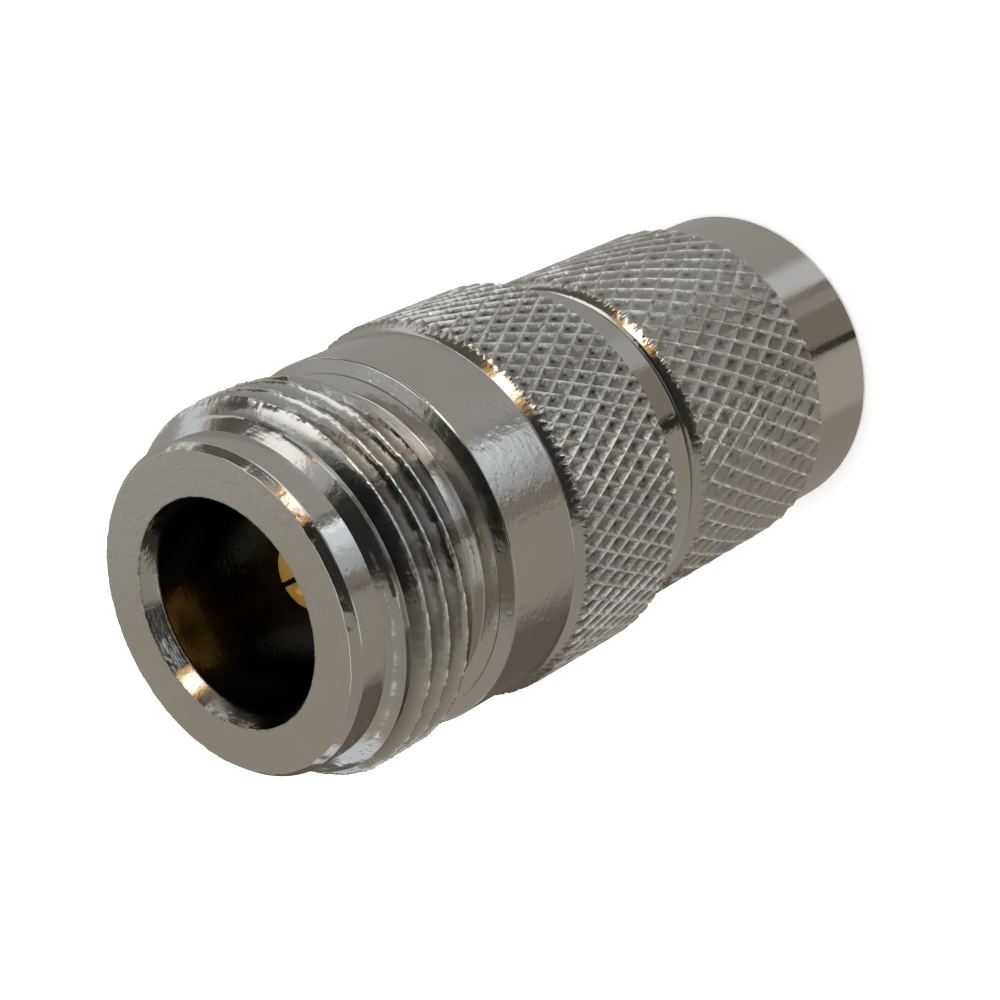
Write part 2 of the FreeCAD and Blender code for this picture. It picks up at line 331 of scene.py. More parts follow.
# the helix: a row falls away from its crest depth by pitch * angle / full turn, and radius = crest radius
# less the vee's fall at the distance from the crest line. A cone at each end holds it down, a noise along
# the crest lifts and nicks its edge, and another one ripples the flanks
def threadBlock(spec, columns):
    pitch, low, high = spec["threadPitch"], spec["threadStart"], spec["threadEnd"]
    quarter = 0.25  # the crest depth is given on the camera's side, a quarter turn before the first column
    across = np.array([*spec["veeAcross"], pitch / 2])
    rowsAcross = np.concatenate([-across[:0:-1], across[:-1]])
    turnsUp = math.ceil((spec["threadCrestDepth"] - low) / pitch) + 1
    turns = math.ceil((high - low) / pitch) + 4
    base = spec["threadCrestDepth"] - pitch * (quarter + turnsUp)
    edges = (base + np.arange(turns)[:, None] * pitch + rowsAcross[None, :]).reshape(-1, 1)
    angle = spreadAngles(columns)[None, :]
    depth = np.clip(edges - pitch * angle / (2 * np.pi), low, high)
    turn = (depth - spec["threadCrestDepth"]) / pitch + angle / (2 * np.pi) + quarter
    fromCrest = np.abs(turn - np.round(turn)) * pitch
    sunk = np.interp(fromCrest, across, spec["veeFall"])
    unrolled = angle + 2 * np.pi * np.round(turn)
    ragged = smoothNoise(unrolled, 0.0 * depth, scale=17, seed=5)
    above, below = spec["burrClear"]
    between = (depth > low + above) & (depth < high - below)
    crest = np.clip(1 - fromCrest / spec["burrWidth"], 0, 1) * between
    burr = spec["burr"] * crest * (0.5 * ragged + np.clip(ragged, 0, 2))
    ripple = spec["coneRipple"] * smoothNoise(angle, depth * 0.3, scale=9, seed=8)
    ripple = ripple * np.clip((depth - low) / spec["rippleStart"], 0, 1)
    front = spec["leadRadius"] + (depth - low) + ripple
    back = spec["threadRadius"] - spec["threadEndBreak"] + high - depth
    unevenness = spec["flankRipple"] * smoothNoise(unrolled, depth * 2, scale=7, seed=11)
    flank = spec["threadRadius"] - sunk + unevenness
    radius = np.minimum(np.minimum(flank, front), back) + burr
    # painted shade darkens the flanks towards the root, and the crests are paled for wear and as a painted
    # highlight
    onFlank = np.clip((np.minimum(front, back) - flank) / spec["flankEdge"], 0, 1)
    sunkShare = np.clip(sunk / spec["veeFall"][-1], 0, 1)
    return {"angle": np.broadcast_to(angle, depth.shape), "radius": radius, "depth": depth,
            "rowsPerTurn": len(rowsAcross), "shadeAndGrime": sunkShare * spec["rootShade"] * onFlank,
            "bareGlint": crest * np.clip(0.3 + ragged, 0, 1) * spec["crestGlint"]}


# the ways in which both knurls show wear, and the pale ridge lines that also paint highlights. Rows are
# distances from the grip's ends, in millimetres, and the pit's place and reach are shares of a cell
knurlFinish = {
    "edgeRows": (0.0, 0.02, 0.05),
    "firstRow": 0.07,
    "lastRow": 0.02,
    "wander": 0.012,
    "wear": 0.18,
    "leans": ((12.98, 78.2, 0.3), (39.3, 11.1, 1.7), (73.1, 52.2, 4.0)),
    "pitPlace": 0.12,
    "pitReach": 0.22,
    "pitShare": 0.3,
    "pitGrime": 0.7,
    "lipWidth": 0.04,
    "lineSteep": 5,
    "lineShare": (0.3, 0.6),
}


# two families of ridges wind round the grip in opposite ways and cross in a diamond lattice. A ridge's
# height is (1 - distance from its line) ^ power, so that the floors are dished, and radius = top radius
# less cut * (1 - the higher of the two ridges). Every floor leans a little its own way, and a ramp at
# each end cuts the lattice down to the plain turned part beside it
def knurlBlock(spec, columns):
    finish, pitch, top, finer = knurlFinish, spec["pitch"], spec["radius"], spec["finer"]
    start, end, seed = spec["start"], spec["end"], spec["seed"]
    step = pitch / finer
    edgeRows = start + np.array(finish["edgeRows"])
    first = math.ceil((edgeRows[-1] - spec["crossingDepth"]) / step)
    last = math.floor((end - finish["lastRow"] - spec["crossingDepth"]) / step)
    lattice = spec["crossingDepth"] + np.arange(first, last + 1) * step
    depth = np.concatenate([edgeRows, lattice[lattice > start + finish["firstRow"]], [end]])[:, None]
    angle = spreadAngles(columns, -90 + spec["crossingTurn"])[None, :]
    around = np.arange(columns + 1)[None, :] * spec["count"] / columns
    along = (depth - spec["crossingDepth"]) / pitch
    heights, cells = [], []
    for sign, (share, power) in ((1, spec["ridge"]), (-1, spec["ridgeOther"])):
        wander = finish["wander"] * smoothNoise(angle, depth * 0.3, scale=3, seed=seed + sign, octaves=2)
        phase = around + sign * along + wander
        wave = 1 - np.abs(phase - np.round(phase)) * 2
        wear = np.clip(smoothNoise(angle, depth * 1.3, scale=17, seed=seed + 5 * sign), 0, 1)
        heights.append(share * wave ** power * (1 - finish["wear"] * wear))
        cells.append((np.floor(phase), phase - np.floor(phase) - 0.5))
    (rowCell, rowPart), (lineCell, linePart) = cells
    lean = [np.sin(rowCell * a + lineCell * b + c) for a, b, c in finish["leans"]]
    height = np.maximum(*heights)
    tilt = lean[0] * rowPart * 2 + lean[1] * linePart * 2 + 0.5 * lean[2]
    floorLean = spec["cellTilt"] * tilt * (1 - height)
    fromPit = np.hypot(rowPart - finish["pitPlace"], linePart - finish["pitPlace"])
    pit = np.clip(1 - fromPit / finish["pitReach"], 0, 1) * np.clip(finish["pitShare"] + lean[2], 0, 1)
    past = depth - start
    ramp = spec["footRadius"] + spec["ramp"] * past - spec["lip"] * np.exp(-past / finish["lipWidth"])
    if spec["fillet"]:
        soft = np.clip(past / spec["fillet"], 0, 1)
        rise = np.where(soft < 1, soft * past / 2, past - spec["fillet"] / 2)
        ramp = spec["footRadius"] + spec["ramp"] * rise
    tail = spec["endFootRadius"] + (end - depth)
    # pale lines along the ridge tops: wear and a painted highlight
    least, more = finish["lineShare"]
    rubbedGlint = least + more * np.clip(smoothNoise(angle, depth, scale=23, seed=3), 0, 1)
    lines = np.clip(1 - finish["lineSteep"] * (1 - height), 0, 1) * rubbedGlint
    radius = np.minimum(np.minimum(top - spec["cut"] * (1 - height) + floorLean, ramp), tail)
    within = radius < ramp - 0.001
    # the floors get painted shade, deeper away from the ridges, and each cell a dark spot
    return {"angle": np.broadcast_to(angle, radius.shape), "radius": radius,
            "depth": np.broadcast_to(depth, radius.shape), "satin": within * (1 - height),
            "shadeAndGrime": within * (spec["floorShade"] * (1 - height) + finish["pitGrime"] * pit),
            "bareGlint": within * spec["wornGlint"] * lines}


# 1 at a turned edge and fading away from it, within its reach
def nearness(block, radius, reach):
    return np.exp(-((block["radius"] - radius) / reach[0]) ** 2) * (block["depth"] < reach[1])


def makeShell(spec, band):
    columns, lineRadius, shelf = spec["columns"], spec["lineRadius"], spec["shelfDepth"]
    bore = turnedBlock([(lineRadius, spec["boreOutline"][0][1]), *spec["boreOutline"]], columns)
    # painted shade: the bore darkens towards near black with depth
    least, most = spec["boreShade"]
    bore["shadeAndGrime"] = least + (most - least) * np.clip(bore["depth"] - spec["boreShadeStart"], 0, 1)
    face = [(radius, 0.0) for radius in spec["faceRows"]]
    front = turnedBlock([*spec["mouthOutline"], *face, *spec["leadOutline"]], columns)
    raggedness = smoothNoise(front["angle"], 0.0 * front["depth"], scale=12, seed=31, octaves=4)
    nearLip = nearness(front, spec["lipRadius"], spec["lipReach"])
    nearEdge = nearness(front, spec["edgeRadius"], spec["edgeReach"])
    lipRipple = spec["lipNoise"] * raggedness * nearLip
    edgeRipple = spec["edgeNoise"] * raggedness * nearEdge
    front["radius"] = front["radius"] + lipRipple + edgeRipple
    # a ragged line along the bore's lip is darkened
    least, more = spec["lipDarkening"]
    front["shadeAndGrime"] = np.clip(nearLip * (least + more * raggedness), 0, 1)
    thread = threadBlock(spec, spec["threadColumns"])
    middle = turnedBlock([*spec["waistOutline"], (spec["collarRadius"], band["start"] - 0.01)], columns)
    middle["satin"] = spec["collarSatin"] * (middle["depth"] > spec["collarStart"])
    grip = knurlBlock(band, spec["knurlColumns"])
    ring, ringEnd, bevel = spec["ringRadius"], spec["ringEnd"], spec["ringBreak"]
    neck, neckBreak, groove = spec["neckRadius"], spec["neckBreak"], spec["neckGrooveRadius"]
    grooveStart, grooveEnd = (ringEnd + step for step in spec["neckGroove"])
    neckEnd = ringEnd + spec["neckLength"]
    rear = turnedBlock([
        (spec["stepRadius"], band["end"]),
        (ring, band["end"], 0.05),
        (ring, ringEnd - bevel, 0.03),
        (ring - bevel, ringEnd, 0.03),
        (neck, ringEnd),
        (neck, grooveStart),
        (groove, grooveStart),
        (groove, grooveEnd),
        (neck, grooveEnd),
        (neck, neckEnd - neckBreak),
        (neck - neckBreak, neckEnd),
        (spec["neckBore"], neckEnd),
        (spec["neckBore"], shelf),
        (lineRadius, shelf),
    ], columns, 3)
    return ringPiece("jackShell", [bore, front, thread, middle, grip, rear])


def makeNut(spec):
    columns, sleeve, rim, start = spec["columns"], spec["sleeveRadius"], totalLength, spec["start"]
    rimBreak, threadBore = spec["rimBreak"], spec["threadBore"]
    threadTop = rim - spec["threadLength"]
    sleeveTop, sleeveNext = (spec["end"] + step for step in spec["sleeveStart"])
    grip = knurlBlock(spec, spec["knurlColumns"])
    outside = turnedBlock([
        (sleeve, sleeveTop),
        (sleeve, sleeveNext),
        (sleeve, rim - rimBreak, 0.12),
        (sleeve - rimBreak, rim, 0.1),
        (spec["mouthRadius"], rim, 0.08),
        (threadBore, rim - spec["mouthDepth"], 0.05),
        (threadBore, threadTop + 0.02),
    ], columns)
    bore, boreBreak, groove = spec["boreRadius"], spec["boreBreak"], spec["grooveRadius"]
    inside = turnedBlock([
        (threadBore, threadTop),
        (bore, threadTop),
        (bore, spec["grooveEnd"]),
        (groove, spec["grooveEnd"]),
        (groove, spec["grooveStart"]),
        (bore, spec["grooveStart"]),
        (bore, start + boreBreak, 0.05),
        (bore + boreBreak, start, 0.05),
        (spec["faceRadius"], start),
    ], columns, 3)
    return ringPiece("couplingNut", [grip, outside, inside])


jackShell = makeShell(shellSpec, bandSpec)
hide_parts("jack_shell")
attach(jackShell, "adapter_body")

couplingNut = makeNut(nutSpec)
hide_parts("coupling_nut")
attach(couplingNut, "nut")
print("turned pieces made")


def newMaterial(name):
    material = bpy.data.materials.new(name)
    material.use_nodes = True
    material.node_tree.nodes.clear()
    return material, material.node_tree.nodes, material.node_tree.links


def addNode(nodes, kind, values=None, **settings):
    node = nodes.new(kind)
    for key, value in settings.items():
        setattr(node, key, value)
    for key, value in (values or {}).items():
        node.inputs[key].default_value = value
    return node


skinSpec = {
    "pitScale": 2600.0,
    "pitReach": 0.35,
    "turningScale": 14000.0,
    "stainScale": 350.0,
}
skinInputs = ("Peel Scale", "Peel", "Pits", "Turning")


# plating skin: slow orange peel, fine pits and turning lines, as one height
def platingGroup():
    group = bpy.data.node_groups.new("platedSkin", "ShaderNodeTree")
    face = group.interface
    for key in skinInputs:
        face.new_socket(key, in_out="INPUT", socket_type="NodeSocketFloat")
    face.new_socket("Place", in_out="INPUT", socket_type="NodeSocketVector")
    face.new_socket("Height", in_out="OUTPUT", socket_type="NodeSocketFloat")
    face.new_socket("Stain", in_out="OUTPUT", socket_type="NodeSocketFloat")
    nodes, links = group.nodes, group.links
    inner, outer = nodes.new("NodeGroupInput"), nodes.new("NodeGroupOutput")
    peel = addNode(nodes, "ShaderNodeTexNoise", {"Detail": 3.0, "Roughness": 0.6})
    links.new(inner.outputs["Place"], peel.inputs["Vector"])
    links.new(inner.outputs["Peel Scale"], peel.inputs["Scale"])
    pits = addNode(nodes, "ShaderNodeTexVoronoi", {"Scale": skinSpec["pitScale"], "Randomness": 1.0})
    links.new(inner.outputs["Place"], pits.inputs["Vector"])
    reach = {"From Min": 0.0, "From Max": skinSpec["pitReach"], "To Min": -1.0, "To Max": 0.0}
    dimple = addNode(nodes, "ShaderNodeMapRange", reach, interpolation_type="SMOOTHSTEP")
    links.new(pits.outputs["Distance"], dimple.inputs["Value"])
    parts = addNode(nodes, "ShaderNodeSeparateXYZ")
    links.new(inner.outputs["Place"], parts.inputs[0])
    fine = {"Scale": skinSpec["turningScale"], "Detail": 2.0}
    turning = addNode(nodes, "ShaderNodeTexNoise", fine, noise_dimensions="1D")
    links.new(parts.outputs["Z"], turning.inputs["W"])
    sums = []
    for amount, source in (("Peel", peel), ("Pits", dimple), ("Turning", turning)):
        scaled = addNode(nodes, "ShaderNodeMath", operation="MULTIPLY")
        links.new(source.outputs[0], scaled.inputs[0])
        links.new(inner.outputs[amount], scaled.inputs[1])
        sums.append(scaled)
    total = sums[0]
    for scaled in sums[1:]:
        add = addNode(nodes, "ShaderNodeMath", operation="ADD")
        links.new(total.outputs[0], add.inputs[0])
        links.new(scaled.outputs[0], add.inputs[1])
        total = add
    links.new(total.outputs[0], outer.inputs["Height"])
    cloudy = {"Scale": skinSpec["stainScale"], "Detail": 5.0, "Roughness": 0.7}
    stain = addNode(nodes, "ShaderNodeTexNoise", cloudy)
    links.new(inner.outputs["Place"], stain.inputs["Vector"])
    links.new(stain.outputs[0], outer.inputs["Stain"])
    return group


platedSkin = platingGroup()


# pale crests are less mirror-like, from wear and as painted highlights, satin floors are rougher and more
# dimpled, and the dark mark adds painted shade and dirt
def platedMetal(name, spec):
    material, nodes, links = newMaterial(name)
    place = addNode(nodes, "ShaderNodeTexCoord")
    skin = addNode(nodes, "ShaderNodeGroup", node_tree=platedSkin)
    for key in skinInputs:
        skin.inputs[key].default_value = spec[key]
    links.new(place.outputs["Object"], skin.inputs["Place"])
    relief = {"Strength": spec["bumpStrength"], "Distance": spec["bumpHeight"]}
    bump = addNode(nodes, "ShaderNodeBump", relief)
    satin = addNode(nodes, "ShaderNodeAttribute", attribute_name="satin")
    coarser = addNode(nodes, "ShaderNodeMath", {1: spec["satinBump"], 2: 1.0}, operation="MULTIPLY_ADD")
    height = addNode(nodes, "ShaderNodeMath", operation="MULTIPLY")
    links.new(satin.outputs["Fac"], coarser.inputs[0])
    links.new(skin.outputs["Height"], height.inputs[0])
    links.new(coarser.outputs[0], height.inputs[1])
    links.new(height.outputs[0], bump.inputs["Height"])
    # the dark colour stands for painted shade and dirt
    shadeAndGrime = addNode(nodes, "ShaderNodeAttribute", attribute_name="shadeAndGrime")
    colour = addNode(nodes, "ShaderNodeMix", data_type="RGBA")
    colour.inputs["A"].default_value = (*spec["colour"], 1)
    colour.inputs["B"].default_value = (*spec["shadeAndGrime"], 1)
    links.new(shadeAndGrime.outputs["Fac"], colour.inputs["Factor"])
    stained = {"From Min": 0.35, "From Max": 0.7, "To Min": spec["roughLow"], "To Max": spec["roughHigh"]}
    rough = addNode(nodes, "ShaderNodeMapRange", stained)
    links.new(skin.outputs["Stain"], rough.inputs["Value"])
    dulled = addNode(nodes, "ShaderNodeMath", {1: spec["satinRoughness"]}, operation="MULTIPLY_ADD")
    links.new(satin.outputs["Fac"], dulled.inputs[0])
    links.new(rough.outputs[0], dulled.inputs[2])
    # pale, less metallic crests: wear and a painted highlight
    bareGlint = addNode(nodes, "ShaderNodeAttribute", attribute_name="bareGlint")
    duller = {1: -spec["bareGlintLoss"], 2: spec["metallic"]}
    metal = addNode(nodes, "ShaderNodeMath", duller, operation="MULTIPLY_ADD")
    links.new(bareGlint.outputs["Fac"], metal.inputs[0])
    bright = addNode(nodes, "ShaderNodeMix", data_type="RGBA")
    bright.inputs["B"].default_value = (*spec["bareGlintColour"], 1)
    links.new(bareGlint.outputs["Fac"], bright.inputs["Factor"])
    links.new(colour.outputs["Result"], bright.inputs["A"])
    shader = addNode(nodes, "ShaderNodeBsdfPrincipled")
    links.new(metal.outputs[0], shader.inputs["Metallic"])
    links.new(bright.outputs["Result"], shader.inputs["Base Color"])
    links.new(dulled.outputs[0], shader.inputs["Roughness"])
    links.new(bump.outputs[0], shader.inputs["Normal"])
    output = addNode(nodes, "ShaderNodeOutputMaterial")
    links.new(shader.outputs[0], output.inputs["Surface"])
    return material


nickelSpec = {
    "metallic": 1.0,
    "colour": (0.64, 0.62, 0.585),
    # the dark colour of painted shade and dirt
    "shadeAndGrime": (0.035, 0.03, 0.024),
    # the pale colour of crests: wear and a painted highlight
    "bareGlintColour": (0.93, 0.92, 0.9),
    "bareGlintLoss": 0.6,
    "satinRoughness": 0.1,
    "satinBump": 3.0,
    "Peel Scale": 2000.0,
    "Peel": 0.55,
    "Pits": 0.15,
    "Turning": 0.06,
    "bumpStrength": 0.75,
    "bumpHeight": 0.00003,
    "roughLow": 0.09,
    "roughHigh": 0.22,
}
goldSpec = dict(nickelSpec, metallic=0.7, colour=(0.66, 0.39, 0.08), shadeAndGrime=(0.4, 0.25, 0.08),
                roughLow=0.2, roughHigh=0.35)
bronzeSpec = dict(nickelSpec, colour=(0.6, 0.42, 0.24))

nickelPlate = platedMetal("nickelPlate", nickelSpec)
goldPlate = platedMetal("goldPlate", goldSpec)
springBronze = platedMetal("springBronze", bronzeSpec)
for piece in (jackShell, couplingNut):
    piece.data.materials.append(nickelPlate)


# one even colour that a grain darkens down to a share of it, with a slight bump
def plainMaterial(name, spec):
    material, nodes, links = newMaterial(name)
    place = addNode(nodes, "ShaderNodeTexCoord")
    grain = addNode(nodes, "ShaderNodeTexNoise", {"Scale": spec["grain"], "Detail": 4.0})
    links.new(place.outputs["Object"], grain.inputs["Vector"])
    tint = addNode(nodes, "ShaderNodeMix", data_type="RGBA")
    tint.inputs["A"].default_value = (*spec["colour"], 1)
    tint.inputs["B"].default_value = (*[c * spec["darker"] for c in spec["colour"]], 1)
    links.new(grain.outputs[0], tint.inputs["Factor"])
    bump = addNode(nodes, "ShaderNodeBump", {"Strength": 0.3, "Distance": spec["bumpHeight"]})
    links.new(grain.outputs[0], bump.inputs["Height"])
    shader = addNode(nodes, "ShaderNodeBsdfPrincipled", {"Roughness": spec["roughness"]})
    links.new(tint.outputs["Result"], shader.inputs["Base Color"])
    links.new(bump.outputs[0], shader.inputs["Normal"])
    output = addNode(nodes, "ShaderNodeOutputMaterial")
    links.new(shader.outputs[0], output.inputs["Surface"])
    return material


beadSpec = {
    "colour": (0.6, 0.6, 0.575),
    "darker": 0.82,
    "roughness": 0.45,
    "grain": 1500.0,
    "bumpHeight": 0.00001,
}
rubberSpec = {
    "colour": (0.28, 0.09, 0.07),
    "darker": 0.82,
    "roughness": 0.6,
    "grain": 2500.0,
    "bumpHeight": 0.00001,
}
dielectric = plainMaterial("dielectric", beadSpec)
siliconeRubber = plainMaterial("siliconeRubber", rubberSpec)

nodeMaterials = {
    "socket_contact": goldPlate,
    "pin_contact": goldPlate,
    "plug_outer_contact": nickelPlate,
    "jack_insulator": dielectric,
    "plug_insulator": dielectric,
    "gasket": siliconeRubber,
    "snap_ring": springBronze,
}
for node, material in nodeMaterials.items():
    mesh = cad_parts[node].data
    mesh.materials.clear()
    mesh.materials.append(material)
print("materials made")


# reflection panels: walls of the light tent that only glossy rays see. A patch is (angle from, angle to,
# level from, level to, softness of the angle, softness of the level, colour). Angles are in degrees from
# the camera's side towards -X: on the dome the turn itself, and on the sheet the place on the upright
# wall that mirrors the point. The level is degrees above the floor on the dome, and millimetres from
# the axis on the sheet. The wall radius, in metres, is about that of the adapter's walls
tentSpec = {
    "radius": 0.6,
    "sheetHeight": 0.00002,
    "wallRadius": 0.0072,
    "dome": {
        "base": (0.36, 0.335, 0.285),
        "patches": [
            (-176, -96, 22, 62, 10, 8, (0.44, 0.44, 0.43)),
            (20, 120, 54, 91, 10, 9, (0.16, 0.145, 0.12)),
            (26, 100, 10, 52, 6, 8, (0.33, 0.315, 0.275)),
            (-112, -42, 34, 62, 8, 5, (0.48, 0.48, 0.47)),
            (-112, -76, 58, 76, 6, 5, (0.45, 0.46, 0.44)),
            (-120, -50, 8, 28, 7, 3, (0.1, 0.093, 0.08)),
            (-104, -64, 29, 53, 6, 3, (1.3, 1.32, 1.3)),
            (-135, -66, -1, 8, 5, 3, (0.8, 0.8, 0.78)),
            (-128, -94, 47, 68, 6, 4, (0.42, 0.43, 0.41)),
            (-56, -27, 1, 36, 3, 3, (0.75, 0.42, 0.13)),
            (-50, -34, 2, 34, 3, 3, (2.2, 2.1, 1.8)),
            (-27, 36, -1, 38, 3, 2, (0.03, 0.029, 0.028)),
            (-27, 4, 16.5, 20, 6, 1.5, (0.62, 0.64, 0.66)),
            (4, 36, 16.5, 20, 6, 1.5, (0.2, 0.19, 0.17)),
            (118, 181, -2, 13, 5, 3, (0.75, 0.8, 0.86)),
            (-181, -125, -2, 13, 5, 3, (0.75, 0.8, 0.86)),
            (-43, 26, 37, 63, 3, 4, (0.022, 0.022, 0.021)),
            (-79, 61, 60, 91, 5, 4, (0.012, 0.013, 0.012)),
            (105, 180, 56, 86, 3, 4, (1.3, 1.35, 1.4)),
            (-181, -124, 64, 86, 3, 4, (0.9, 0.93, 0.96)),
        ],
    },
    "sheet": {
        "base": (0.375, 0.365, 0.345),
        "patches": [
            (12, 44, -1, 400, 5, 10, (0.335, 0.315, 0.27)),
            (44, 100, 22, 400, 8, 12, (0.14, 0.12, 0.102)),
            (13, 36, -1, 13, 4, 4, (0.43, 0.405, 0.365)),
            (36, 100, -1, 13, 6, 4, (0.32, 0.287, 0.253)),
            (-24, -12.5, -1, 13, 6, 4, (0.63, 0.64, 0.66)),
            (-13, -9, -1, 13, 2, 4, (0.25, 0.23, 0.20)),
            (-9, -5, -1, 13, 2, 4, (0.33, 0.31, 0.28)),
            (-4.5, 8, -1, 13, 1.5, 4, (0.235, 0.205, 0.172)),
            (8, 11.5, -1, 13, 1.5, 4, (0.05, 0.046, 0.038)),
            (-26, -13, 13, 28, 5, 3, (0.45, 0.46, 0.47)),
            (-12, 7, 13, 28, 2, 3, (0.245, 0.225, 0.20)),
            (6.4, 11.2, 13, 28, 0.6, 3, (0.02, 0.019, 0.016)),
            (-4, 6, 28, 400, 5, 3, (0.50, 0.54, 0.58)),
            (-38, -12, 60, 400, 6, 8, (1.0, 1.04, 1.08)),
            (8, 26, 60, 400, 6, 8, (0.7, 0.72, 0.72)),
            (-11.3, -2, 28, 53, 3, 3, (0.88, 0.97, 1.05)),
            (-11.3, -9, 28, 53, 0.8, 3, (1.35, 1.45, 1.55)),
            (-11.3, -2, 28, 36.5, 3, 2, (0.72, 0.79, 0.83)),
            (5.5, 11, 28, 400, 1.6, 3, (0.25, 0.22, 0.195)),
            (11, 12, 28, 400, 0.4, 3, (0.02, 0.018, 0.016)),
            (-14, -11.4, 28, 400, 0.8, 3, (0.11, 0.10, 0.095)),
        ],
    },
}


# 1 inside a band of angle and level with soft edges: the product of four smooth steps
def patchGroup():
    group = bpy.data.node_groups.new("tentPatch", "ShaderNodeTree")
    face = group.interface
    names = ["Angle", "Level", "Angle From", "Angle To", "Level From", "Level To", "Angle Soft", "Level Soft"]
    for key in names:
        face.new_socket(key, in_out="INPUT", socket_type="NodeSocketFloat")
    face.new_socket("Mask", in_out="OUTPUT", socket_type="NodeSocketFloat")
    nodes, links = group.nodes, group.links
    inner, outer = nodes.new("NodeGroupInput"), nodes.new("NodeGroupOutput")
    steps = []
    for value in ("Angle", "Level"):
        for more, less in ((value, f"{value} From"), (f"{value} To", value)):
            offset = addNode(nodes, "ShaderNodeMath", operation="SUBTRACT")
            links.new(inner.outputs[more], offset.inputs[0])
            links.new(inner.outputs[less], offset.inputs[1])
            ratio = addNode(nodes, "ShaderNodeMath", operation="DIVIDE")
            links.new(offset.outputs[0], ratio.inputs[0])
            links.new(inner.outputs[f"{value} Soft"], ratio.inputs[1])
            ease = {"From Min": -0.5, "From Max": 0.5}
            step = addNode(nodes, "ShaderNodeMapRange", ease, interpolation_type="SMOOTHSTEP")
            links.new(ratio.outputs[0], step.inputs["Value"])
            steps.append(step)
    product = steps[0]
    for step in steps[1:]:
        times = addNode(nodes, "ShaderNodeMath", operation="MULTIPLY")
        links.new(product.outputs[0], times.inputs[0])
        links.new(step.outputs[0], times.inputs[1])
        product = times
    links.new(product.outputs[0], outer.inputs["Mask"])
    return group


tentPatch = patchGroup()


# the angle and level of a point, worked out in the shader; the patches are laid over each other in turn
def tentMaterial(name, spec, onFloor):
    material, nodes, links = newMaterial(name)
    place = addNode(nodes, "ShaderNodeTexCoord")
    parts = addNode(nodes, "ShaderNodeSeparateXYZ")
    links.new(place.outputs["Object"], parts.inputs[0])
    minusX = addNode(nodes, "ShaderNodeMath", {1: -1.0}, operation="MULTIPLY")
    minusY = addNode(nodes, "ShaderNodeMath", {1: -1.0}, operation="MULTIPLY")
    links.new(parts.outputs["X"], minusX.inputs[0])
    links.new(parts.outputs["Y"], minusY.inputs[0])
    turn = addNode(nodes, "ShaderNodeMath", operation="ARCTAN2")
    links.new(minusX.outputs[0], turn.inputs[0])
    links.new(minusY.outputs[0], turn.inputs[1])
    length = addNode(nodes, "ShaderNodeVectorMath", operation="LENGTH")
    links.new(place.outputs["Object"], length.inputs[0])
    angle = addNode(nodes, "ShaderNodeMath", {1: 180 / math.pi}, operation="MULTIPLY")
    level = addNode(nodes, "ShaderNodeMath", {1: 1000.0 if onFloor else 180 / math.pi}, operation="MULTIPLY")
    if onFloor:
        # wall angle = turn * d / (2 d - r), with d from the axis and r the wall radius
        links.new(length.outputs["Value"], level.inputs[0])
        lessRadius = {1: 2.0, 2: -tentSpec["wallRadius"]}
        twice = addNode(nodes, "ShaderNodeMath", lessRadius, operation="MULTIPLY_ADD")
        links.new(length.outputs["Value"], twice.inputs[0])
        share = addNode(nodes, "ShaderNodeMath", operation="DIVIDE")
        links.new(length.outputs["Value"], share.inputs[0])
        links.new(twice.outputs[0], share.inputs[1])
        wall = addNode(nodes, "ShaderNodeMath", operation="MULTIPLY")
        links.new(turn.outputs[0], wall.inputs[0])
        links.new(share.outputs[0], wall.inputs[1])
        links.new(wall.outputs[0], angle.inputs[0])
    else:
        ratio = addNode(nodes, "ShaderNodeMath", operation="DIVIDE")
        links.new(parts.outputs["Z"], ratio.inputs[0])
        links.new(length.outputs["Value"], ratio.inputs[1])
        slope = addNode(nodes, "ShaderNodeMath", operation="ARCSINE")
        links.new(ratio.outputs[0], slope.inputs[0])
        links.new(slope.outputs[0], level.inputs[0])
        links.new(turn.outputs[0], angle.inputs[0])
    colour = addNode(nodes, "ShaderNodeRGB").outputs[0]
    colour.default_value = (*spec["base"], 1)
    for angleFrom, angleTo, levelFrom, levelTo, angleSoft, levelSoft, tint in spec["patches"]:
        patch = addNode(nodes, "ShaderNodeGroup", node_tree=tentPatch)
        for key, value in (("Angle From", angleFrom), ("Angle To", angleTo), ("Level From", levelFrom),
                           ("Level To", levelTo), ("Angle Soft", angleSoft), ("Level Soft", levelSoft)):
            patch.inputs[key].default_value = value
        links.new(angle.outputs[0], patch.inputs["Angle"])
        links.new(level.outputs[0], patch.inputs["Level"])
        blend = addNode(nodes, "ShaderNodeMix", data_type="RGBA")
        links.new(patch.outputs[0], blend.inputs["Factor"])
        links.new(colour, blend.inputs["A"])
        blend.inputs["B"].default_value = (*tint, 1)
        colour = blend.outputs["Result"]
    glow = addNode(nodes, "ShaderNodeEmission", {"Strength": 1.0})
    links.new(colour, glow.inputs["Color"])
    output = addNode(nodes, "ShaderNodeOutputMaterial")
    links.new(glow.outputs[0], output.inputs["Surface"])
    return material


